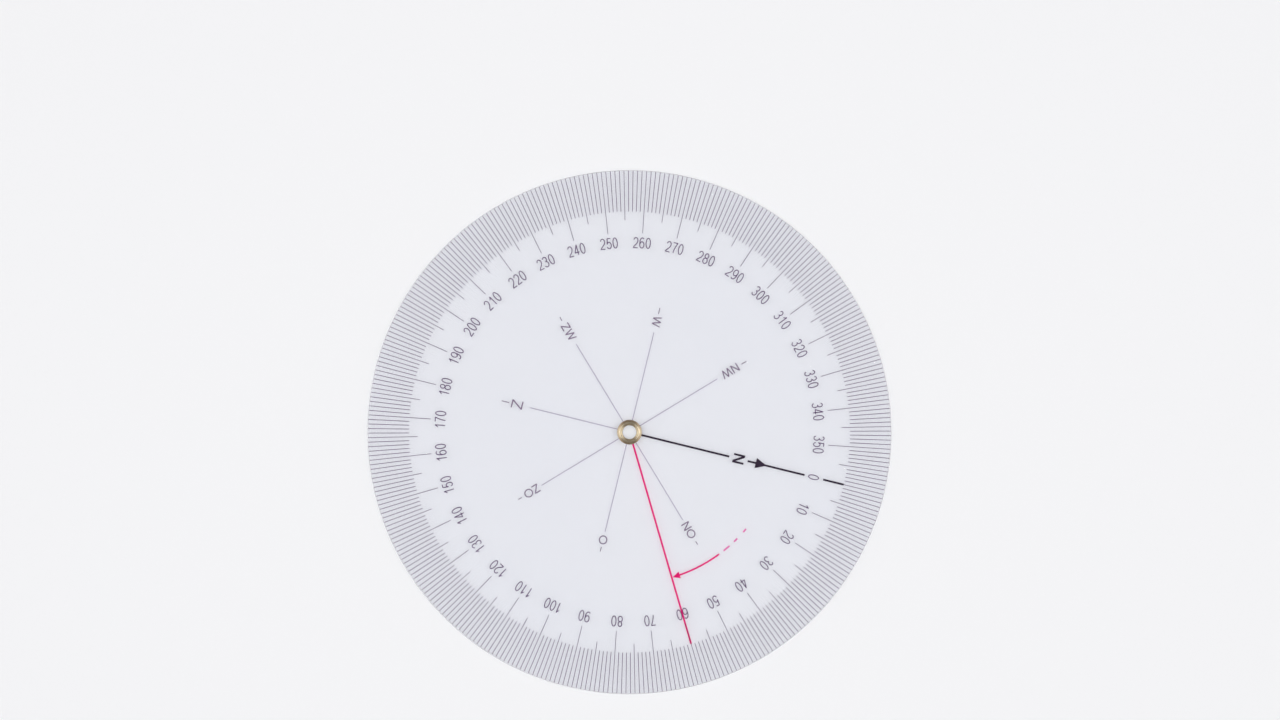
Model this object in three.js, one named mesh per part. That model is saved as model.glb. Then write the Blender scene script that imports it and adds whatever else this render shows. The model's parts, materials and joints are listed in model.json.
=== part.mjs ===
// A course protractor for charts: two round sheets of clear plastic that turn on each other about a
// hollow brass eyelet. The lower sheet is printed with the degree scale and the compass lines, the
// upper one with a red course line. Lengths are in millimetres and Z points up. The origin is on the
// eyelet's axis at the bottom of its foot. The scale's 0 mark, north, points along +Y, and bearings
// run clockwise as seen from above.

import * as THREE from 'three';

// Discs
const discDiameter = 126;
const discThickness = 0.5;
const discBevel = 0.1;
const discFacets = 180;

// Each disc is divided this far outside the eyelet's foot into a centre, which seats on the eyelet,
// and the sheet around it. The resting face on the underside of the scale disc begins there.
const restingFaceGap = 5;

// Print on the facing sides of both discs, and the gap in which they pass each other
const printThickness = 0.03;
const runningGap = 0.06;

// Eyelet
const boreDiameter = 3.2;
const barrelWall = 0.3;
const barrelClearance = 0.08;
const flangeWidth = 1.375;
const flangeHeight = 0.55;
const flangeClearance = 0.05;
const flangeEdgeHeight = 0.2;
const crestInset = 0.45;
const lipDepth = 0.45;
const footWidth = 1.1;
const footHeight = 0.35;
const footRound = 0.2;
const eyeletFacets = 40;
const lipSteps = 5;
const flangeSteps = 4;
const footSteps = 3;

// Degree scale: one tick for each degree, all of them starting at the rim
const degreesInCircle = 360;
const shortStep = 5;
const longStep = 10;
const tickWidth = 0.12;
const degreeTickLength = 9.93;
const fiveDegreeTickLength = 12;
const tenDegreeTickLength = 15.03;
const rimLineWidth = 0.1;

// Ring inside the long ticks that is kept clear for the printed numerals
const numeralBand = 4.6;

// Compass lines. The rays reach over this share of the clear field inside the numerals.
const lineStartGap = 0.25;
const rayWidth = 0.12;
const dashWidth = 0.19;
const rayReachShare = 0.57;
const northLineWidth = 0.45;

// Compass letters, drawn in strokes. The letters of the north to south line are taller.
const letterHeight = 2.05;
const letterStroke = 0.26;
const tallLetterHeight = 2.75;
const southStroke = 0.31;
const northStroke = 0.46;
const letterGap = 0.24;
const roundLetterSteps = 24;
const letterWidthShares = { N: 0.82, O: 1.05, W: 1.22, Z: 0.72 };
const slantShare = 1.25;
const steepSlantShare = 1;
const valleyShare = 0.5;

// North arrow
const northArrowNeck = 2;
const northArrowHeadLength = 2.7;
const northArrowHeadWidth = 2.5;

// Course line and its turn arrow, whose radius is a share of the clear field's
const courseBearing = 60;
const courseLineWidth = 0.42;
const turnArrowRadiusShare = 0.84;
const turnArrowWidth = 0.39;
const turnArrowSweep = 20.1;
const turnArrowHeadLength = 1.8;
const turnArrowHeadWidth = 1.65;
const turnArrowSteps = 12;
const turnDashAngles = [[22.2, 25.1], [27.4, 29.2], [32.4, 34.1]];
const turnDashSteps = 3;

// Compass marks: a ray, one or two letters and a short dash. The lead from the ray to the letters,
// the trail from the letters to the dash, and the dash itself are shares of the letters' height.
const compassMarks = [
  { name: 'northeast', bearing: 45, letters: 'NO', slope: 45, shares: [0.43, 0.5, 0.46] },
  { name: 'east', bearing: 90, letters: 'O', slope: 0, shares: [0.44, 0.33, 0.54] },
  { name: 'southeast', bearing: 135, letters: 'ZO', slope: -45, shares: [0.41, 0.42, 0.49] },
  { name: 'south', bearing: 180, letters: 'Z', slope: 0, shares: [0.85, 0.27, 0.93] },
  { name: 'southwest', bearing: 225, letters: 'ZW', slope: 45, shares: [0.68, 0.48, 0.49] },
  { name: 'west', bearing: 270, letters: 'W', slope: 0, shares: [0.69, 0.31, 0.73] },
  { name: 'northwest', bearing: 315, letters: 'NW', slope: -45, shares: [0.68, 0.48, 0.66] },
];
const northMark = { letter: 'N', leadShare: 0.47, trailShare: 0.41 };

// Sizes and levels that follow from those above
const discRadius = discDiameter / 2;
const printRadius = discRadius - discBevel;
const boreRadius = boreDiameter / 2;
const barrelRadius = boreRadius + barrelWall;
const holeRadius = barrelRadius + barrelClearance;
const flangeRadius = boreRadius + flangeWidth;
const footRadius = boreRadius + footWidth;
const centreRadius = footRadius + restingFaceGap;
const lineStart = holeRadius + lineStartGap;
const ticksStart = discRadius - degreeTickLength;
const longTicksStart = discRadius - tenDegreeTickLength;
const clearFieldRadius = longTicksStart - numeralBand;
const rayReach = clearFieldRadius * rayReachShare;
const turnArrowRadius = clearFieldRadius * turnArrowRadiusShare;
const scaleBottom = footHeight;
const scaleTop = scaleBottom + discThickness;
const courseBottom = scaleTop + 2 * printThickness + runningGap;
const courseTop = courseBottom + discThickness;
const flangeBottom = courseTop + flangeClearance;

// Finishes
const clearPlastic = { color: 0xe4e6ee, roughness: 0.16, metalness: 0, transparent: true, opacity: 0.3 };
const paleBrass = { color: 0xd9c08c, roughness: 0.24, metalness: 1 };
const blackInk = { color: 0x28202d, roughness: 0.55, metalness: 0 };
const greyInk = { color: 0x55505e, roughness: 0.55, metalness: 0 };
const redInk = { color: 0xdd1f62, roughness: 0.5, metalness: 0 };
const paleRedInk = { color: 0xe58fb0, roughness: 0.5, metalness: 0 };

function addMesh(group, name, geometry, finish, level) {
  const mesh = new THREE.Mesh(geometry, new THREE.MeshStandardMaterial(finish));
  mesh.name = name;
  mesh.position.z = level;
  group.add(mesh);
  return mesh;
}

function turnedGroup(parent, bearing) {
  const group = new THREE.Group();
  group.rotation.z = -THREE.MathUtils.degToRad(bearing);
  parent.add(group);
  return group;
}

// A point at a bearing, so far along its direction and so far across it, clockwise
function pointAt(bearing, along, across = 0) {
  const angle = THREE.MathUtils.degToRad(bearing);
  return new THREE.Vector2(
    along * Math.sin(angle) + across * Math.cos(angle),
    along * Math.cos(angle) - across * Math.sin(angle),
  );
}

// Ink laid on a sheet: a flat outline as thick as the print
function inked(shape) {
  return new THREE.ExtrudeGeometry(shape, { depth: printThickness, bevelEnabled: false });
}

// Ink given by corners and flat faces, each counterclockwise from above: walls stand on every edge
// that only one face has
function slab(corners, faces) {
  const count = corners.length;
  const levels = [0, printThickness];
  const position = levels.flatMap((level) => corners.flatMap((corner) => [corner.x, corner.y, level]));
  const edges = faces.flatMap((face) => face.map((corner, i) => [corner, face[(i + 1) % face.length]]));
  const taken = new Set(edges.map(([from, to]) => `${from} ${to}`));
  const walls = edges.filter(([from, to]) => !taken.has(`${to} ${from}`));
  const index = [];
  for (const [first, ...rest] of faces) {
    for (let i = 1; i < rest.length; i++) {
      index.push(first, rest[i], rest[i - 1]);
      index.push(first + count, rest[i - 1] + count, rest[i] + count);
    }
  }
  for (const [from, to] of walls) {
    index.push(from, to, to + count, from, to + count, from + count);
  }
  const geometry = new THREE.BufferGeometry();
  geometry.setAttribute('position', new THREE.Float32BufferAttribute(position, 3));
  geometry.setIndex(index);
  geometry.computeVertexNormals();
  return geometry;
}

// A closed section, radius and height by point, turned about the Z axis
function turned(section, facets) {
  const geometry = new THREE.LatheGeometry([...section, section[0]], facets);
  geometry.rotateX(Math.PI / 2);
  return geometry;
}

function bar(width, start, end) {
  return new THREE.Shape([
    new THREE.Vector2(-width / 2, start),
    new THREE.Vector2(width / 2, start),
    new THREE.Vector2(width / 2, end),
    new THREE.Vector2(-width / 2, end),
  ]);
}

// Discs. The sections run outwards along the underside and back along the top.

function discCentre() {
  return turned([
    new THREE.Vector2(holeRadius, 0),
    new THREE.Vector2(centreRadius, 0),
    new THREE.Vector2(centreRadius, discThickness),
    new THREE.Vector2(holeRadius, discThickness),
  ], discFacets);
}

function discSheet() {
  return turned([
    new THREE.Vector2(centreRadius, 0),
    new THREE.Vector2(printRadius, 0),
    new THREE.Vector2(discRadius, discBevel),
    new THREE.Vector2(discRadius, discThickness - discBevel),
    new THREE.Vector2(printRadius, discThickness),
    new THREE.Vector2(centreRadius, discThickness),
  ], discFacets);
}

// Eyelet. Its foot is rolled out under the scale disc. Its lip bends over from the bore to a crest,
// and the flange falls away from there to its edge on the course disc.

function arcPoints(centreRadius, centreHeight, radiusAcross, radiusUp, from, to, steps) {
  const points = [];
  for (let step = 0; step <= steps; step++) {
    const angle = THREE.MathUtils.degToRad(from + ((to - from) * step) / steps);
    points.push(new THREE.Vector2(
      centreRadius + radiusAcross * Math.cos(angle),
      centreHeight + radiusUp * Math.sin(angle),
    ));
  }
  return points;
}

function eyelet() {
  const crestRadius = boreRadius + crestInset;
  const crest = flangeBottom + flangeHeight;
  const slopeWidth = flangeRadius - crestRadius;
  const slopeHeight = flangeHeight - flangeEdgeHeight;
  return turned([
    ...arcPoints(boreRadius + footRound, footRound, footRound, footRound, 180, 270, footSteps),
    ...arcPoints(footRadius - footRound, footRound, footRound, footRound, 270, 360, footSteps),
    new THREE.Vector2(footRadius, footHeight),
    new THREE.Vector2(barrelRadius, footHeight),
    new THREE.Vector2(barrelRadius, flangeBottom),
    new THREE.Vector2(flangeRadius, flangeBottom),
    ...arcPoints(crestRadius, crest - slopeHeight, slopeWidth, slopeHeight, 0, 90, flangeSteps),
    ...arcPoints(crestRadius, crest - lipDepth, crestInset, lipDepth, 90, 180, lipSteps).slice(1),
  ], eyeletFacets);
}

// Degree scale. A hairline at the rim carries every tick. The tick at 0 is a short one, because a
// black dash stands before it.

function tickLength(degree) {
  if (degree === 0 || degree % shortStep > 0) {
    return degreeTickLength;
  }
  return degree % longStep > 0 ? fiveDegreeTickLength : tenDegreeTickLength;
}

function degreeScale() {
  const corners = [];
  const faces = [];
  const rimInside = printRadius - rimLineWidth;
  for (let degree = 0; degree < degreesInCircle; degree++) {
    const tickEnd = discRadius - tickLength(degree);
    const rim = corners.length;
    corners.push(
      pointAt(degree, printRadius),
      pointAt(degree, rimInside, -tickWidth / 2),
      pointAt(degree, tickEnd, -tickWidth / 2),
      pointAt(degree, tickEnd, tickWidth / 2),
      pointAt(degree, rimInside, tickWidth / 2),
    );
    const [leftBase, leftEnd, rightEnd, rightBase] = [rim + 1, rim + 2, rim + 3, rim + 4];
    const nextRim = degree + 1 < degreesInCircle ? corners.length : 0;
    const nextBase = nextRim + 1;
    faces.push(
      [rim, leftBase, rightBase],
      [leftBase, leftEnd, rightEnd, rightBase],
      [rim, rightBase, nextBase, nextRim],
    );
  }
  return slab(corners, faces);
}

// Letters, each centred on the origin

function letterN(width, height, stroke) {
  const side = width / 2;
  const top = height / 2;
  const slant = stroke * slantShare;
  const fork = top - (height * (width - stroke - slant)) / (width - slant);
  return new THREE.Shape([
    new THREE.Vector2(-side, -top),
    new THREE.Vector2(-side + stroke, -top),
    new THREE.Vector2(-side + stroke, -fork),
    new THREE.Vector2(side - slant, -top),
    new THREE.Vector2(side, -top),
    new THREE.Vector2(side, top),
    new THREE.Vector2(side - stroke, top),
    new THREE.Vector2(side - stroke, fork),
    new THREE.Vector2(-side + slant, top),
    new THREE.Vector2(-side, top),
  ]);
}

function letterZ(width, height, stroke) {
  const side = width / 2;
  const top = height / 2;
  const slant = stroke * slantShare;
  return new THREE.Shape([
    new THREE.Vector2(-side, -top),
    new THREE.Vector2(side, -top),
    new THREE.Vector2(side, -top + stroke),
    new THREE.Vector2(-side + slant, -top + stroke),
    new THREE.Vector2(side, top - stroke),
    new THREE.Vector2(side, top),
    new THREE.Vector2(-side, top),
    new THREE.Vector2(-side, top - stroke),
    new THREE.Vector2(side - slant, top - stroke),
    new THREE.Vector2(-side, -top + stroke),
  ]);
}

function letterW(width, height, stroke) {
  const side = width / 2;
  const top = height / 2;
  const slant = stroke * steepSlantShare;
  const valley = side * valleyShare;
  const outerFork = top - (height * (side - slant - slant / 2)) / (side - slant / 2);
  const middleFork = -top + (height * (valley - slant / 2)) / valley;
  return new THREE.Shape([
    new THREE.Vector2(-side, top),
    new THREE.Vector2(-valley - slant / 2, -top),
    new THREE.Vector2(-valley + slant / 2, -top),
    new THREE.Vector2(0, middleFork),
    new THREE.Vector2(valley - slant / 2, -top),
    new THREE.Vector2(valley + slant / 2, -top),
    new THREE.Vector2(side, top),
    new THREE.Vector2(side - slant, top),
    new THREE.Vector2(valley, outerFork),
    new THREE.Vector2(slant / 2, top),
    new THREE.Vector2(-slant / 2, top),
    new THREE.Vector2(-valley, outerFork),
    new THREE.Vector2(-side + slant, top),
  ]);
}

function ellipsePoints(halfWidth, halfHeight) {
  const points = [];
  for (let step = 0; step < roundLetterSteps; step++) {
    const angle = (2 * Math.PI * step) / roundLetterSteps;
    points.push(new THREE.Vector2(halfWidth * Math.cos(angle), halfHeight * Math.sin(angle)));
  }
  return points;
}

function letterO(width, height, stroke) {
  const shape = new THREE.Shape(ellipsePoints(width / 2, height / 2));
  shape.holes.push(new THREE.Path(ellipsePoints(width / 2 - stroke, height / 2 - stroke)));
  return shape;
}

const letterShapes = { N: letterN, O: letterO, W: letterW, Z: letterZ };

function letterWidth(letter, height) {
  return height * letterWidthShares[letter];
}

// North line, letter, arrow and the dash at the scale's 0

function northArrow(start) {
  const base = start + northArrowNeck;
  const tip = base + northArrowHeadLength;
  const shoulder = tip - (northArrowHeadLength * northLineWidth) / northArrowHeadWidth;
  const rightSide = [
    [northLineWidth, start],
    [northLineWidth, base],
    [northArrowHeadWidth, base],
    [northLineWidth, shoulder],
    [northLineWidth, clearFieldRadius],
  ];
  const right = rightSide.map(([width, along]) => new THREE.Vector2(width / 2, along));
  const left = rightSide.map(([width, along]) => new THREE.Vector2(-width / 2, along));
  return new THREE.Shape([...right, ...left.reverse()]);
}

function addNorth(group) {
  const letterStart = rayReach + northMark.leadShare * letterHeight;
  const letterEnd = letterStart + tallLetterHeight;
  const arrowStart = letterEnd + northMark.trailShare * letterHeight;
  const width = letterWidth(northMark.letter, tallLetterHeight);
  const letter = inked(letterN(width, tallLetterHeight, northStroke));
  addMesh(group, 'north_line', inked(bar(northLineWidth, lineStart, rayReach)), blackInk, scaleTop);
  addMesh(group, 'north_n', letter, blackInk, scaleTop).position.y = (letterStart + letterEnd) / 2;
  addMesh(group, 'north_arrow', inked(northArrow(arrowStart)), blackInk, scaleTop);
  addMesh(group, 'zero_dash', inked(bar(northLineWidth, longTicksStart, ticksStart)), blackInk, scaleTop);
}

// The other seven compass marks

function addCompassMark(group, mark) {
  const onNorthSouthLine = mark.bearing === degreesInCircle / 2;
  const height = onNorthSouthLine ? tallLetterHeight : letterHeight;
  const stroke = onNorthSouthLine ? southStroke : letterStroke;
  const letters = [...mark.letters];
  const widths = letters.map((letter) => letterWidth(letter, height));
  const wordWidth = widths.reduce((sum, width) => sum + width, (letters.length - 1) * letterGap);
  const [lead, trail, dash] = mark.shares.map((share) => share * letterHeight);
  const wordStart = rayReach + lead;
  const wordEnd = wordStart + (onNorthSouthLine ? height : wordWidth);
  const dashStart = wordEnd + trail;

  const direction = turnedGroup(group, mark.bearing);
  const ray = inked(bar(rayWidth, lineStart, rayReach));
  const shortDash = inked(bar(dashWidth, dashStart, dashStart + dash));
  addMesh(direction, `${mark.name}_ray`, ray, greyInk, scaleTop);
  addMesh(direction, `${mark.name}_dash`, shortDash, greyInk, scaleTop);

  const word = new THREE.Group();
  const centre = pointAt(mark.bearing, (wordStart + wordEnd) / 2);
  word.position.set(centre.x, centre.y, 0);
  word.rotation.z = THREE.MathUtils.degToRad(mark.slope);
  group.add(word);
  let left = -wordWidth / 2;
  letters.forEach((letter, index) => {
    const shape = letterShapes[letter](widths[index], height, stroke);
    const name = `${mark.name}_${letter.toLowerCase()}`;
    addMesh(word, name, inked(shape), greyInk, scaleTop).position.x = left + widths[index] / 2;
    left += widths[index] + letterGap;
  });
}

// Course line and turn arrow, drawn as at bearing 0. The arrow comes from behind and ends at the line.

function arcEdge(radius, from, to, steps) {
  const points = [];
  for (let step = 0; step <= steps; step++) {
    points.push(pointAt(from + ((to - from) * step) / steps, radius));
  }
  return points;
}

function turnArrow() {
  const degreesPerLength = THREE.MathUtils.radToDeg(1 / turnArrowRadius);
  const tip = (-courseLineWidth / 2) * degreesPerLength;
  const base = tip - turnArrowHeadLength * degreesPerLength;
  const inside = turnArrowRadius - turnArrowWidth / 2;
  const outside = turnArrowRadius + turnArrowWidth / 2;
  return new THREE.Shape([
    ...arcEdge(outside, -turnArrowSweep, base, turnArrowSteps),
    pointAt(base, turnArrowRadius + turnArrowHeadWidth / 2),
    pointAt(tip, turnArrowRadius),
    pointAt(base, turnArrowRadius - turnArrowHeadWidth / 2),
    ...arcEdge(inside, base, -turnArrowSweep, turnArrowSteps),
  ]);
}

function turnDash([near, far]) {
  return new THREE.Shape([
    ...arcEdge(turnArrowRadius + turnArrowWidth / 2, -far, -near, turnDashSteps),
    ...arcEdge(turnArrowRadius - turnArrowWidth / 2, -near, -far, turnDashSteps),
  ]);
}

function addCourse(group) {
  const level = courseBottom - printThickness;
  addMesh(group, 'course_disc', discSheet(), clearPlastic, courseBottom);
  addMesh(group, 'course_disc_centre', discCentre(), clearPlastic, courseBottom);
  addMesh(group, 'course_line', inked(bar(courseLineWidth, lineStart, ticksStart)), redInk, level);
  addMesh(group, 'turn_arrow', inked(turnArrow()), redInk, level);
  turnDashAngles.forEach((angles, index) => {
    addMesh(group, `turn_dash_${index + 1}`, inked(turnDash(angles)), paleRedInk, level);
  });
}

const plotter = new THREE.Group();
addMesh(plotter, 'scale_disc', discSheet(), clearPlastic, scaleBottom);
addMesh(plotter, 'scale_disc_centre', discCentre(), clearPlastic, scaleBottom);
addMesh(plotter, 'eyelet', eyelet(), paleBrass, 0);
addMesh(plotter, 'degree_scale', degreeScale(), greyInk, scaleTop);
addNorth(plotter);
compassMarks.forEach((mark) => addCompassMark(plotter, mark));
addCourse(turnedGroup(plotter, courseBearing));

export default plotter;
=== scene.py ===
import json
import math

import bmesh
import bpy
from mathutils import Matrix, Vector
from mathutils.geometry import delaunay_2d_cdt


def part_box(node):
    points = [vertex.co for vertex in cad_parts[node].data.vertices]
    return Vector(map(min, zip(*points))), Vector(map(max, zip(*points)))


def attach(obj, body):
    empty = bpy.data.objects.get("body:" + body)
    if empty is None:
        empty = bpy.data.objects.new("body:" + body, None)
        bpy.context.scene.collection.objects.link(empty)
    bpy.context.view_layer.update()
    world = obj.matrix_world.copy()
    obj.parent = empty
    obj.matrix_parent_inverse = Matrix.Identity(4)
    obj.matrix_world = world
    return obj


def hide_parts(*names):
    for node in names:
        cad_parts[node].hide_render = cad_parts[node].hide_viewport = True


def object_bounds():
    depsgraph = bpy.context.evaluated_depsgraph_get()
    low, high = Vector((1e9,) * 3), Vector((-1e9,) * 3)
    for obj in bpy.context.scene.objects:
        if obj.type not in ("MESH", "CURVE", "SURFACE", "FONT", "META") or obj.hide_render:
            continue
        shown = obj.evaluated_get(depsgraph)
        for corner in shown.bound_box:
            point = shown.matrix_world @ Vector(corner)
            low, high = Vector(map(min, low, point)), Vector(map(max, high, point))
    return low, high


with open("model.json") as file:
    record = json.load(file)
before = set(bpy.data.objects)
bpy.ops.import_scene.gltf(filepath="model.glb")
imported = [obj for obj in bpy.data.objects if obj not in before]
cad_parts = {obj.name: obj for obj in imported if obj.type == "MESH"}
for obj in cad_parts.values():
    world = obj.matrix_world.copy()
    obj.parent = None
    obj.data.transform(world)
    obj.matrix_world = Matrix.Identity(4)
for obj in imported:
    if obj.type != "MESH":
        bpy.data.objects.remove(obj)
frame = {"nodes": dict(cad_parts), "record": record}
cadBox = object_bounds()
nodes = frame["nodes"]
mm = 0.001
print("frame loaded:", len(nodes), "nodes")

# A round course protractor seen from straight above, its 0 mark to the right and a little down.

scene = bpy.context.scene
scene.view_settings.view_transform = "Standard"
scene.cycles.transparent_max_bounces = 32  # light goes down and up through two clear sheets

photoView = {
    "turn": 103.78,  # degrees, so that the north line points as in the picture
    "centre": (-17.45, -1.675),  # mm, the spot in the middle of the picture
    "height": 856.3,  # mm above the chart
    "lens": 100,
    "sight": 20,  # m
}


def addCamera(view):
    lens = bpy.data.cameras.new("camera")
    lens.lens = view["lens"]
    lens.clip_end = view["sight"]
    camera = bpy.data.objects.new("camera", lens)
    camera.location = (view["centre"][0] * mm, view["centre"][1] * mm, view["height"] * mm)
    camera.rotation_euler = (0, 0, math.radians(view["turn"]))
    scene.collection.objects.link(camera)
    scene.camera = camera


addCamera(photoView)
print("camera placed")


# Helpers for node materials. Noise is sized in features per mm.

def newTree(name):
    material = bpy.data.materials.new(name)
    material.use_nodes = True
    material.node_tree.nodes.clear()
    return material, material.node_tree


def addNode(tree, kind, inputs=None, **settings):
    node = tree.nodes.new(kind)
    for key, value in settings.items():
        setattr(node, key, value)
    for key, value in (inputs or {}).items():
        if isinstance(value, bpy.types.NodeSocket):
            tree.links.new(value, node.inputs[key])
        else:
            node.inputs[key].default_value = value
    return node


def millimetres(tree, scale=(1, 1, 1), turn=0):
    place = addNode(tree, "ShaderNodeTexCoord").outputs["Object"]
    stretch = [share / mm for share in scale]
    return addNode(tree, "ShaderNodeMapping", {
        "Vector": place, "Scale": stretch, "Rotation": (0, 0, math.radians(turn)),
    }).outputs[0]


def noise(tree, place, scale, detail=2, roughness=0.5):
    return addNode(tree, "ShaderNodeTexNoise", {
        "Vector": place, "Scale": scale, "Detail": detail, "Roughness": roughness,
    }).outputs["Fac"]


def ramp(tree, factor, low, high, start=0.0, end=1.0):
    return addNode(tree, "ShaderNodeMapRange", {
        "Value": factor, "From Min": low, "From Max": high, "To Min": start, "To Max": end,
    }).outputs[0]


def calculate(tree, operation, first, second=0.0):
    return addNode(tree, "ShaderNodeMath", {0: first, 1: second}, operation=operation).outputs[0]


def mixValues(tree, factor, first, second):
    rest = calculate(tree, "SUBTRACT", 1.0, factor)
    return calculate(tree, "ADD", calculate(tree, "MULTIPLY", first, rest),
                     calculate(tree, "MULTIPLY", factor, second))


def mixColours(tree, factor, first, second):
    mix = addNode(tree, "ShaderNodeMix", data_type="RGBA")
    for socket, value in ((mix.inputs[0], factor), (mix.inputs[6], first), (mix.inputs[7], second)):
        if isinstance(value, bpy.types.NodeSocket):
            tree.links.new(value, socket)
        else:
            socket.default_value = value
    return mix.outputs[2]


def bump(tree, height, distance, strength=1.0, under=None):
    inputs = {"Height": height, "Distance": distance, "Strength": strength}
    if under is not None:
        inputs["Normal"] = under
    return addNode(tree, "ShaderNodeBump", inputs).outputs[0]


def opaque(colour):
    return (*colour, 1.0)


# Clear sheet plastic: tinted a little, glossy, with long soft waves and hairline scratches

clearPlastic = {
    "tint": (0.9945, 0.9955, 1.0),  # what one face lets through
    "haze": (0.76, 0.82, 1.0),
    "hazeShare": 0.006,
    "ior": 1.47,
    "roughness": 0.045,
    "cloudPitch": 0.03,
    "smearPitch": 0.12,
    "wavePitch": 0.05,
    "waveHeight": 0.012 * mm,
    "scratches": [(24, 1.1, 0.012), (118, 0.9, 0.01)],  # direction, pitch and width of each set
    "scratchStretch": 0.02,
    "scratchPatchPitch": 0.09,
    "scratchDepth": 0.0012 * mm,
}


def scratches(tree, look, turn, pitch, width):
    place = millimetres(tree, (pitch, pitch * look["scratchStretch"], 1), turn)
    streaks = noise(tree, place, 1.0, detail=1)
    patches = noise(tree, millimetres(tree), look["scratchPatchPitch"], detail=1)
    aside = calculate(tree, "ABSOLUTE", calculate(tree, "SUBTRACT", streaks, 0.5))
    line = ramp(tree, aside, 0, width, 1, 0)
    return calculate(tree, "MULTIPLY", line, ramp(tree, patches, 0.52, 0.66))


def clearPlasticFinish(look):
    material, tree = newTree("clear_plastic")
    marks = calculate(tree, "ADD", *(scratches(tree, look, *each) for each in look["scratches"]))
    waves = bump(tree, noise(tree, millimetres(tree), look["wavePitch"], 1), look["waveHeight"])
    surface = bump(tree, marks, look["scratchDepth"], 0.6, waves)
    fresnel = addNode(tree, "ShaderNodeFresnel", {"IOR": look["ior"], "Normal": surface}).outputs[0]
    inside = addNode(tree, "ShaderNodeNewGeometry").outputs["Backfacing"]
    mirror = calculate(tree, "MULTIPLY", fresnel, calculate(tree, "SUBTRACT", 1.0, inside))
    clear = addNode(tree, "ShaderNodeBsdfTransparent", {"Color": opaque(look["tint"])}).outputs[0]
    haze = addNode(tree, "ShaderNodeBsdfDiffuse", {"Color": opaque(look["haze"])}).outputs[0]
    cloud = ramp(tree, noise(tree, millimetres(tree), look["cloudPitch"]), 0.3, 0.7, 0.6, 1.4)
    milky = calculate(tree, "MULTIPLY", calculate(tree, "ADD", cloud, marks), look["hazeShare"])
    body = addNode(tree, "ShaderNodeMixShader", {0: milky, 1: clear, 2: haze}).outputs[0]
    smear = ramp(tree, noise(tree, millimetres(tree), look["smearPitch"], 4), 0.35, 0.7, 0.5, 2.2)
    roughness = calculate(tree, "MULTIPLY", smear, look["roughness"])
    gloss = addNode(tree, "ShaderNodeBsdfGlossy", {
        "Color": opaque((1, 1, 1)), "Roughness": roughness, "Normal": surface,
    }).outputs[0]
    mixed = addNode(tree, "ShaderNodeMixShader", {0: mirror, 1: body, 2: gloss}).outputs[0]
    addNode(tree, "ShaderNodeOutputMaterial", {"Surface": mixed})
    return material


# The cut edge of a sheet gathers the plastic's own tint and is frosted by the cutter, and its
# furrows are darkened with a painted shade

cutEdge = {
    "colour": (0.86, 0.88, 0.92),
    "clearness": 0.7,
    "roughness": 0.3,
    "paintedFurrowShade": 0.82,  # of the colour: a painted shade in the furrows of the bump
    "linePitch": 1.6,
    "lineStretch": 14,
    "lineHeight": 0.01 * mm,
    "frostPitch": 9,
}


def cutEdgeFinish(look):
    material, tree = newTree("cut_edge")
    lines = noise(tree, millimetres(tree, (1, 1, look["lineStretch"])), look["linePitch"], 3)
    frost = noise(tree, millimetres(tree), look["frostPitch"], 3)
    # painted shade: darker in the furrows, where the same lines cut the bump
    tone = mixColours(
        tree, ramp(tree, lines, 0.35, 0.65),
        opaque([look["paintedFurrowShade"] * part for part in look["colour"]]), opaque(look["colour"]),
    )
    surface = addNode(tree, "ShaderNodeBsdfPrincipled", {
        "Base Color": tone,
        "Roughness": ramp(tree, frost, 0.3, 0.7, look["roughness"] * 0.7, look["roughness"] * 1.4),
        "IOR": clearPlastic["ior"],
        "Normal": bump(tree, lines, look["lineHeight"]),
    }).outputs[0]
    clear = addNode(tree, "ShaderNodeBsdfTransparent").outputs[0]
    share = ramp(tree, frost, 0.25, 0.75, look["clearness"] * 0.85, look["clearness"] * 1.15)
    mixed = addNode(tree, "ShaderNodeMixShader", {0: share, 1: surface, 2: clear}).outputs[0]
    addNode(tree, "ShaderNodeOutputMaterial", {"Surface": mixed})
    return material


# Screen-printed ink: even, with the faint grain of the screen and a soft sheen. The red inks are
# glazes: most of their light goes through, and `glaze` is what one face lets through.

inks = {
    "black_ink": {"colour": (0.017, 0.003, 0.022), "roughness": 0.42},
    "scale_ink": {"colour": (0.090, 0.030, 0.125), "roughness": 0.45},
    "grey_ink": {"colour": (0.225, 0.165, 0.250), "roughness": 0.45},
    "ray_ink": {"colour": (0.245, 0.168, 0.335), "roughness": 0.45},
    "red_ink": {
        "colour": (0.98, 0.012, 0.19), "roughness": 0.38,
        "body": 0.08, "glaze": (0.985, 0.11, 0.57),
    },
    "pale_red_ink": {
        "colour": (0.95, 0.30, 0.45), "roughness": 0.38,
        "body": 0.08, "glaze": (1.0, 0.57, 0.81),
    },
}
screenPrint = {
    "turn": 22,
    "meshPitch": 14,
    "flowPitch": 0.7,
    "height": 0.002 * mm,
    "contrast": 0.12,
    "lift": 0.006,  # the thinnest ink is this much paler
    "sheen": 0.25,
}


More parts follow.
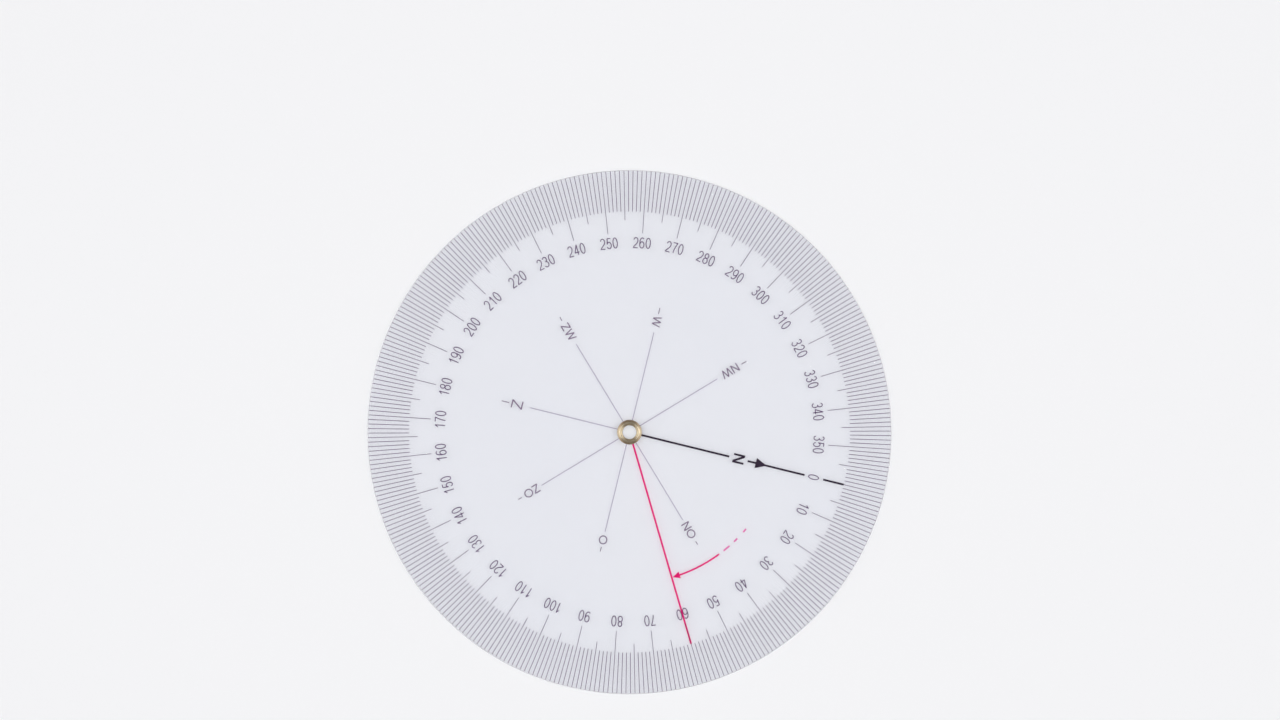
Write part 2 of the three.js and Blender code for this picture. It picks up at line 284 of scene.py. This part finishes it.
def inkFinish(name, look):
    material, tree = newTree(name)
    grain = screenPrint
    mesh = noise(tree, millimetres(tree, turn=grain["turn"]), grain["meshPitch"], 3, 0.6)
    flow = noise(tree, millimetres(tree), grain["flowPitch"])
    level = calculate(tree, "ADD", calculate(tree, "MULTIPLY", mesh, 0.6),
                      calculate(tree, "MULTIPLY", flow, 0.4))
    thin = [min(1, part * (1 + grain["contrast"]) + grain["lift"]) for part in look["colour"]]
    thick = [part * (1 - grain["contrast"]) for part in look["colour"]]
    tone = mixColours(tree, ramp(tree, level, 0.35, 0.65), opaque(thick), opaque(thin))
    shader = addNode(tree, "ShaderNodeBsdfPrincipled", {
        "Base Color": tone,
        "Roughness": ramp(tree, mesh, 0.3, 0.7, look["roughness"] * 0.85, look["roughness"] * 1.2),
        "Specular IOR Level": grain["sheen"],
        "Normal": bump(tree, level, grain["height"]),
    }).outputs[0]
    if "glaze" in look:
        glaze = addNode(tree, "ShaderNodeBsdfTransparent", {
            "Color": opaque(look["glaze"]),
        }).outputs[0]
        body = ramp(tree, level, 0.35, 0.65, look["body"] * 1.2, look["body"] * 0.8)
        shader = addNode(tree, "ShaderNodeMixShader", {0: body, 1: glaze, 2: shader}).outputs[0]
    addNode(tree, "ShaderNodeOutputMaterial", {"Surface": shader})
    return material


# Pale brass, polished by the rolling tool. At the outer edge, low down where it meets the plastic,
# it is dull with tarnish and darker with a painted contact shade

brass = {
    "bright": (0.79, 0.665, 0.46),
    # painted contact shade and tarnish: the colour of the outer edge low down by the plastic
    "tarnishAndShade": (0.42, 0.28, 0.20),
    "barrel": (0.78, 0.78, 0.82),  # inside the bore, where the plating is whole
    "roughness": 0.15,
    "edgeShadeAndTarnish": 0.75,  # how far the outer edge goes over to the tarnished colour with its painted shade
    "seam": (2.7 * mm, 2.97 * mm),  # radii between which the outer edge grows dull and takes the painted shade
    "barrelEnd": (1.605 * mm, 1.66 * mm),  # radii between which the bore's plating ends
    "turningPitch": 26,  # fine rings per mm
    "turningHeight": 0.0012 * mm,
    "wobblePitch": 2.2,
    "stainPitch": 1.7,
    "dentPitch": 1.3,
    "dent": 0.006 * mm,
}


def brassFinish(look, discTop, crest):
    material, tree = newTree("pale_brass")
    place = addNode(tree, "ShaderNodeTexCoord").outputs["Object"]
    parts = addNode(tree, "ShaderNodeSeparateXYZ", {0: place})
    flat = addNode(tree, "ShaderNodeCombineXYZ", {
        0: parts.outputs[0], 1: parts.outputs[1],
    }).outputs[0]
    radius = addNode(tree, "ShaderNodeVectorMath", {0: flat}, operation="LENGTH").outputs["Value"]
    wobble = noise(tree, millimetres(tree), look["wobblePitch"], 3)
    path = calculate(tree, "ADD", calculate(tree, "MULTIPLY", radius, look["turningPitch"] / mm),
                     calculate(tree, "MULTIPLY", wobble, 3))
    rings = calculate(tree, "SINE", calculate(tree, "MULTIPLY", path, math.tau))
    stains = noise(tree, millimetres(tree), look["stainPitch"], 5, 0.62)
    seam = ramp(tree, radius, *look["seam"])
    # painted shade and tarnish, strongest low down at the outer edge, where the flange meets the
    # plastic
    low = ramp(tree, parts.outputs[2], discTop, crest, 1.0, 0.0)
    edgeShadeAndTarnish = calculate(tree, "MULTIPLY", calculate(tree, "MULTIPLY", low, seam), look["edgeShadeAndTarnish"])
    shadeTarnishAndStains = calculate(tree, "ADD", edgeShadeAndTarnish, ramp(tree, stains, 0.5, 0.75, 0.0, 0.35))
    face = mixColours(tree, shadeTarnishAndStains, opaque(look["bright"]), opaque(look["tarnishAndShade"]))
    outside = ramp(tree, radius, *look["barrelEnd"])
    tone = mixColours(tree, outside, opaque(look["barrel"]), face)
    fine = bump(tree, rings, look["turningHeight"])
    bulges = noise(tree, millimetres(tree), look["dentPitch"])
    dents = bump(tree, bulges, look["dent"], 1.0, fine)
    shader = addNode(tree, "ShaderNodeBsdfPrincipled", {
        "Base Color": tone,
        "Metallic": 1.0,
        "Roughness": ramp(tree, shadeTarnishAndStains, 0, 1, look["roughness"], look["roughness"] * 2),
        "Normal": dents,
    })
    addNode(tree, "ShaderNodeOutputMaterial", {"Surface": shader.outputs[0]})
    return material


levels = {
    "scaleBottom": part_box("scale_disc")[0].z,
    "scaleTop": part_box("scale_disc")[1].z,
    "courseBottom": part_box("course_disc")[0].z,
    "courseTop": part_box("course_disc")[1].z,
    "top": cadBox[1].z,
}
finishes = {name: inkFinish(name, look) for name, look in inks.items()}
finishes["clear_plastic"] = clearPlasticFinish(clearPlastic)
finishes["cut_edge"] = cutEdgeFinish(cutEdge)
finishes["pale_brass"] = brassFinish(brass, levels["courseTop"], levels["top"])
print("finishes made:", len(finishes))


# Helpers for pieces

def addPiece(name, mesh, body, slot, replaced, *finishNames):
    for finish in finishNames:
        mesh.materials.append(finishes[finish])
    piece = bpy.data.objects.new(name, mesh)
    scene.collection.objects.link(piece)
    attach(piece, body)
    if replaced:
        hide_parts(*replaced)


def arc(centre, radius, start, end, steps):
    points = []
    for step in range(steps + 1):
        angle = math.radians(start + (end - start) * step / steps)
        points.append((centre[0] + radius * math.cos(angle), centre[1] + radius * math.sin(angle)))
    return points


# A closed section, radius and height by point in metres, turned about the Z axis. Level faces
# between `clearFrom` and `clearTo` take the first finish, all others the second.

def lathe(name, section, steps, clearFrom=0, clearTo=math.inf):
    form = bmesh.new()
    rings = []
    for step in range(steps):
        angle = math.tau * step / steps
        rings.append([
            form.verts.new((radius * math.cos(angle), radius * math.sin(angle), height))
            for radius, height in section
        ])
    for step, ring in enumerate(rings):
        following = rings[(step + 1) % steps]
        for i, (radius, height) in enumerate(section):
            j = (i + 1) % len(section)
            face = form.faces.new((ring[i], following[i], following[j], ring[j]))
            middle = (radius + section[j][0]) / 2
            level = abs(height - section[j][1]) < 1e-9
            face.smooth = not level
            face.material_index = 0 if clearFrom < middle < clearTo and level else 1
    bmesh.ops.recalc_face_normals(form, faces=form.faces)
    mesh = bpy.data.meshes.new(name)
    form.to_mesh(mesh)
    form.free()
    return mesh


# The two sheets

sheet = {
    "facets": 360,
    "edgeRadius": 0.1 * mm,
    "edgeSteps": 4,
    "inkGap": 0.001 * mm,  # air between a sheet and the print on it
}


def sheetSection(hole, rim, bottom, top, edge):
    corners = [
        ((hole + edge / 2, bottom + edge / 2), edge / 2, 180, 270),
        ((rim - edge, bottom + edge), edge, 270, 360),
        ((rim - edge, top - edge), edge, 0, 90),
        ((hole + edge / 2, top - edge / 2), edge / 2, 90, 180),
    ]
    return [point for corner in corners for point in arc(*corner, sheet["edgeSteps"])]


def addSheet(name, body, node, bottom, top):
    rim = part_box(node)[1].x
    hole = eyelet["barrelRadius"] + eyelet["clearance"]
    section = sheetSection(hole, rim, bottom, top, sheet["edgeRadius"])
    edge = sheet["edgeRadius"]
    mesh = lathe(name, section, sheet["facets"], hole + edge / 4, rim - edge / 4)
    addPiece(name, mesh, body, "clear_plastic", [node, node + "_centre"],
             "clear_plastic", "cut_edge")


eyelet = {  # the sheets' holes go round its barrel
    "facets": 128,
    "boreRadius": 1.6 * mm,
    "barrelRadius": 1.9 * mm,
    "clearance": 0.08 * mm,
    "flangeRadius": 2.975 * mm,
    "footRadius": 2.7 * mm,
    "footHeight": 0.35 * mm,
    "rollRadius": 0.11 * mm,
    "rollTurn": 53,  # degrees above the level, where the rolled edge meets the slope
    "slopeSteps": 16,
    "crestRadius": 2.05 * mm,
    "lipDepth": 0.45 * mm,
    "seatGap": 0.02 * mm,  # between the upper sheet and the flange
}

addSheet("scale_sheet", "scale", "scale_disc",
         levels["scaleBottom"], levels["scaleTop"] - sheet["inkGap"])
addSheet("course_sheet", "course", "course_disc",
         levels["courseBottom"] + sheet["inkGap"], levels["courseTop"])
print("sheets made")


# The eyelet: foot rolled out below, barrel, and a flange that bends over from the bore, slopes down
# outwards and ends in a rolled edge

def eyeletSection(look, seat, crest):
    bore, barrel, flange, foot = (
        look[key] for key in ("boreRadius", "barrelRadius", "flangeRadius", "footRadius")
    )
    roll = look["rollRadius"]
    footRoll = look["footHeight"] / 2
    rollEnd = math.radians(look["rollTurn"])
    edge = (flange - roll + roll * math.cos(rollEnd), seat + roll + roll * math.sin(rollEnd))
    peak, lip = look["crestRadius"], look["lipDepth"]
    slope = []
    for step in range(1, look["slopeSteps"]):
        share = 1 - step / look["slopeSteps"]
        slope.append((peak + (edge[0] - peak) * share, crest - (crest - edge[1]) * share * share))
    mouth = [(peak + (peak - bore) * math.cos(math.radians(angle)),
              crest - lip + lip * math.sin(math.radians(angle))) for angle in range(90, 181, 9)]
    return [
        *arc((bore + footRoll, footRoll), footRoll, 180, 270, 8),
        *arc((foot - footRoll, footRoll), footRoll, 270, 450, 12),
        *arc((barrel + roll, look["footHeight"] + roll), roll, 270, 180, 4)[1:],
        *arc((barrel + roll / 2, seat - roll / 2), roll / 2, 180, 90, 4),
        *arc((flange - roll, seat + roll), roll, 270, 360 + look["rollTurn"], 10),
        *slope,
        *mouth,
    ]


section = eyeletSection(eyelet, levels["courseTop"] + eyelet["seatGap"], levels["top"])
mesh = lathe("brass_eyelet", section, eyelet["facets"])
for face in mesh.polygons:
    face.use_smooth = True
    face.material_index = 0
addPiece("brass_eyelet", mesh, "scale", "pale_brass", ["eyelet"], "pale_brass")
print("eyelet made")


# Printed marks are films of ink as thick as in the frame: flat outlines, each counterclockwise,
# with walls on every edge that only one of them has

def film(name, outlines, bottom, top):
    form = bmesh.new()
    lower, upper = {}, {}
    for outline in outlines:
        for point in outline:
            if point not in lower:
                lower[point] = form.verts.new((*point, bottom))
                upper[point] = form.verts.new((*point, top))
        form.faces.new([upper[point] for point in outline])
        form.faces.new([lower[point] for point in reversed(outline)])
    edges = {(a, b) for outline in outlines for a, b in zip(outline, outline[1:] + outline[:1])}
    for a, b in edges:
        if (b, a) not in edges:
            form.faces.new((lower[a], lower[b], upper[b], upper[a]))
    mesh = bpy.data.meshes.new(name)
    form.to_mesh(mesh)
    form.free()
    return mesh


def bearing(degrees, along, across=0):
    angle = math.radians(degrees)
    return (along * math.sin(angle) + across * math.cos(angle),
            along * math.cos(angle) - across * math.sin(angle))


scaleMarks = {
    "tickWidth": 0.120 * mm,
    "degreeTickWidth": 0.129 * mm,
    "degree": 9.93 * mm,  # length of a tick, measured in from the rim
    "five": 12 * mm,
    "ten": 15.03 * mm,
    "edgeGap": 0.1 * mm,
}


def degreeTicks(look, rim):
    ticks = []
    for degree in range(360):
        kind = "ten" if degree % 10 == 0 else "five" if degree % 5 == 0 else "degree"
        start = rim - look["degree" if degree == 0 else kind]
        end = rim - look["edgeGap"]
        side = look["degreeTickWidth" if kind == "degree" else "tickWidth"] / 2
        corners = ((start, -side), (start, side), (end, side), (end, -side))
        ticks.append(tuple(bearing(degree, along, across) for along, across in corners))
    return ticks


printBottom, printTop = (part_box("degree_scale")[end].z for end in (0, 1))
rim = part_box("scale_disc")[1].x
mesh = film("degree_ticks", degreeTicks(scaleMarks, rim), printBottom, printTop)
addPiece("degree_ticks", mesh, "scale", "grey_ink", ["degree_scale"], "scale_ink")
print("ticks made")


# Numerals, drawn as strokes of one width in a narrow upright hand. Each stroke is a list of points,
# in shares of the numeral's half width, from its middle, and of its height, from its foot.

numeral = {
    "height": 2.65 * mm,
    "halfWidth": 0.61 * mm,
    "pitch": 1.5 * mm,
    "stroke": 0.195 * mm,
    "middle": 45.6 * mm,  # from the axis to the middle of the numerals
    "sharpest": 50,  # degrees; a stroke that turns by more is split, and a round joint fills it
}


def bend(x, y, across, up, start, end, steps=14):
    points = []
    for step in range(steps + 1):
        angle = math.radians(start + (end - start) * step / steps)
        points.append((x + across * math.cos(angle), y + up * math.sin(angle)))
    return points


six = [
    bend(0, 0.31, 1, 0.31, 0, 360, 26),
    bend(0.12, 0.6, 1.12, 0.4, 48, 180, 12) + [(-1, 0.31)],
]
digitStrokes = {
    "0": [bend(0, 0.5, 1, 0.5, 0, 360, 32)],
    "1": [[(0.34, 0), (0.34, 1)], [(-0.62, 0.72), (-0.1, 0.82), (0.34, 1)]],
    "2": [bend(0, 0.71, 0.96, 0.29, 165, -30) + [(0.5, 0.42), (-0.7, 0.14), (-1, 0), (1, 0)]],
    "3": [bend(-0.04, 0.765, 0.88, 0.235, 158, -95), bend(-0.04, 0.27, 1, 0.27, 95, -158)],
    "4": [[(0.42, 0), (0.42, 1), (-1.02, 0.26), (1.1, 0.26)]],
    "5": [[(0.86, 1), (-0.6, 1), (-0.84, 0.47)] + bend(0, 0.32, 1, 0.32, 125, -155)],
    "6": six,
    "7": [[(-1, 1), (1, 1), (0.3, 0.62), (-0.1, 0.3), (-0.26, 0)]],
    "8": [bend(0, 0.77, 0.86, 0.23, 0, 360, 24), bend(0, 0.27, 1, 0.27, 0, 360, 26)],
    "9": [[(-x, 1 - y) for x, y in stroke] for stroke in six],
}


def splitStroke(points, sharpest):
    runs = [points[:1]]
    limit = math.cos(math.radians(sharpest))
    for before, point, after in zip(points, points[1:], points[2:]):
        runs[-1].append(point)
        if (point - before).normalized().dot((after - point).normalized()) < limit:
            runs.append([point])
    runs[-1].append(points[-1])
    return runs


def ribbon(path, width):
    closed = (path[0] - path[-1]).length < 1e-9
    if closed:
        path = path[:-1]
    count = len(path)
    left, right = [], []
    for i, point in enumerate(path):
        before = path[i - 1] if closed or i > 0 else None
        after = path[(i + 1) % count] if closed or i < count - 1 else None
        into = (point - before).normalized() if before is not None else (after - point).normalized()
        out = (after - point).normalized() if after is not None else into
        along = (into + out).normalized()
        # mitred, at a sharp turn up to twice as far out
        side = Vector((-along.y, along.x)) * (width / 2 / max(along.dot(into), 0.5))
        left.append(point + side)
        right.append(point - side)
    quads = []
    for i in range(count if closed else count - 1):
        j = (i + 1) % count
        quads.append([right[i], right[j], left[j], left[i]])
    return quads


# The strokes of one digit merged into triangles that don't overlap, in mm

def digitTriangles(strokes, look):
    inner = (look["halfWidth"] - look["stroke"] / 2) / mm
    tall = (look["height"] - look["stroke"]) / mm
    points, faces = [], []
    for stroke in strokes:
        line = [Vector((x * inner, y * tall - tall / 2)) for x, y in stroke]
        runs = splitStroke(line, look["sharpest"])
        polygons = [quad for run in runs for quad in ribbon(run, look["stroke"] / mm)]
        for run in runs[1:]:
            joint = arc(run[0], look["stroke"] / mm / 2, 0, 330, 11)
            polygons.append([Vector(point) for point in joint])
        for polygon in polygons:
            faces.append(list(range(len(points), len(points) + len(polygon))))
            points += polygon
    corners, _, pieces, _, _, sources = delaunay_2d_cdt(points, [], faces, 0, 1e-5, True)
    kept = []
    for piece, source in zip(pieces, sources):
        if source:
            triangle = [corners[i] for i in piece]
            turn = (triangle[1] - triangle[0]).cross(triangle[2] - triangle[0])
            kept.append(triangle if turn > 0 else triangle[::-1])
    return kept


def addNumerals(look):
    digits = {key: digitTriangles(strokes, look) for key, strokes in digitStrokes.items()}
    triangles = []
    for degree in range(0, 360, 10):
        word = str(degree)
        for place, key in enumerate(word):
            shift = (place - (len(word) - 1) / 2) * look["pitch"]
            for triangle in digits[key]:
                triangles.append(tuple(
                    bearing(degree, look["middle"] + point.y * mm, shift + point.x * mm)
                    for point in triangle
                ))
    # corners that meet become one, and triangles that shrink to a line are left out
    rounded = [tuple((round(x, 9), round(y, 9)) for x, y in triangle) for triangle in triangles]
    whole = [triangle for triangle in rounded if len(set(triangle)) == 3]
    mesh = film("degree_numerals", whole, printBottom, printTop)
    addPiece("degree_numerals", mesh, "scale", "grey_ink", [], "scale_ink")


addNumerals(numeral)
print("numerals made")


# The other printed marks keep the frame's shapes and take their inks

for part in frame["record"]["subparts"]:
    name, ink = part["node"], part["material_slot"]
    if ink in inks and not nodes[name].hide_render:
        for place in nodes[name].material_slots:
            place.material = finishes["ray_ink" if name.endswith("_ray") else ink]
print("printed marks inked")


# Pale floor, two softboxes to the left and right of the picture, in front of bright side walls, and
# a lamp overhead, which metal doesn't mirror

studio = {
    "floor": (0.903, 0.916, 0.933),
    "floorReach": 6,  # from the middle to each side, m
    "floorRoughness": 0.75,
    "floorSheen": 0.2,
    "fibrePitch": 1.5,
    "fibreShade": 0.992,
    "fibreHeight": 0.01 * mm,
    "ceiling": 0.34,
    "cameraShade": 0.06,  # the dark spot overhead, which the flat sheets mirror
    "skirting": 0.82,  # low all round, so that a low view has a pale backdrop
    "sideWall": 0.9,
    "endWall": 0.16,
    "endTint": 0.86,
    "wallTurn": (0.45, 0.9),  # where an end wall goes over into a side wall, as a share of sideways
    "skirtingTop": (0.07, 0.17),  # heights, as a share of straight up
    "wallTop": (0.5, 0.9),
    "shadeEdge": (0.984, 0.992),
    "boxSize": (0.68, 0.8),  # across and up, m
    "boxDistance": 1.25,
    "boxElevation": 61,
    "boxPower": 2.06,
    "topSize": (0.35, 0.35),
    "topHeight": 1.7,
    "topPower": 12.3,
}


def floorFinish(look):
    material, tree = newTree("paper_floor")
    fibres = noise(tree, millimetres(tree), look["fibrePitch"], 5, 0.6)
    tone = mixColours(tree, ramp(tree, fibres, 0.3, 0.7),
                      opaque([look["fibreShade"] * part for part in look["floor"]]),
                      opaque(look["floor"]))
    shader = addNode(tree, "ShaderNodeBsdfPrincipled", {
        "Base Color": tone,
        "Roughness": look["floorRoughness"],
        "Specular IOR Level": look["floorSheen"],
        "Normal": bump(tree, fibres, look["fibreHeight"]),
    })
    addNode(tree, "ShaderNodeOutputMaterial", {"Surface": shader.outputs[0]})
    return material


def addFloor(look):
    form = bmesh.new()
    bmesh.ops.create_grid(form, x_segments=8, y_segments=8, size=look["floorReach"])
    mesh = bpy.data.meshes.new("floor")
    form.to_mesh(mesh)
    form.free()
    mesh.materials.append(floorFinish(look))
    floor = bpy.data.objects.new("floor", mesh)
    scene.collection.objects.link(floor)


def addLamp(name, size, power, direction, distance):
    lamp = bpy.data.lights.new(name, "AREA")
    lamp.shape = "RECTANGLE"
    lamp.size, lamp.size_y = size
    lamp.energy = power
    holder = bpy.data.objects.new(name, lamp)
    holder.location = direction * distance
    holder.rotation_euler = direction.to_track_quat("Z", "Y").to_euler()
    scene.collection.objects.link(holder)
    return holder


def addWorld(look):
    world = bpy.data.worlds.new("studio")
    world.use_nodes = True
    tree = world.node_tree
    tree.nodes.clear()
    ray = addNode(tree, "ShaderNodeTexCoord").outputs["Generated"]
    turned = addNode(tree, "ShaderNodeMapping", {
        "Vector": ray, "Rotation": (0, 0, -math.radians(photoView["turn"])),
    }).outputs[0]
    parts = addNode(tree, "ShaderNodeSeparateXYZ", {0: turned})
    aside = calculate(tree, "ABSOLUTE", parts.outputs[0])  # to the picture's left or right
    up = parts.outputs[2]
    side = ramp(tree, aside, *look["wallTurn"])
    wall = ramp(tree, aside, *look["wallTurn"], look["endWall"], look["sideWall"])
    low = ramp(tree, up, *look["skirtingTop"], 1.0, 0.0)
    high = ramp(tree, up, *look["wallTop"])
    overhead = ramp(tree, up, *look["shadeEdge"], look["ceiling"], look["cameraShade"])
    above = mixValues(tree, high, wall, overhead)
    level = mixValues(tree, low, above, look["skirting"])
    neutral = calculate(tree, "MAXIMUM", calculate(tree, "MAXIMUM", high, low), side)
    cool = calculate(tree, "MULTIPLY", level, ramp(tree, neutral, 0, 1, look["endTint"], 1.0))
    colour = addNode(tree, "ShaderNodeCombineColor", {0: level, 1: cool, 2: cool}).outputs[0]
    background = addNode(tree, "ShaderNodeBackground", {"Color": colour}).outputs[0]
    addNode(tree, "ShaderNodeOutputWorld", {"Surface": background})
    scene.world = world


addFloor(studio)
addWorld(studio)
turn = math.radians(photoView["turn"])
right = Vector((math.cos(turn), math.sin(turn), 0))
tilt = math.radians(studio["boxElevation"])
for name, side in (("softboxRight", 1), ("softboxLeft", -1)):
    direction = right * side * math.cos(tilt) + Vector((0, 0, math.sin(tilt)))
    addLamp(name, studio["boxSize"], studio["boxPower"], direction, studio["boxDistance"])
overhead = Vector((0, 0, 1))
topLamp = addLamp("topLamp", studio["topSize"], studio["topPower"], overhead, studio["topHeight"])
topLamp.visible_glossy = False
print("studio lit")
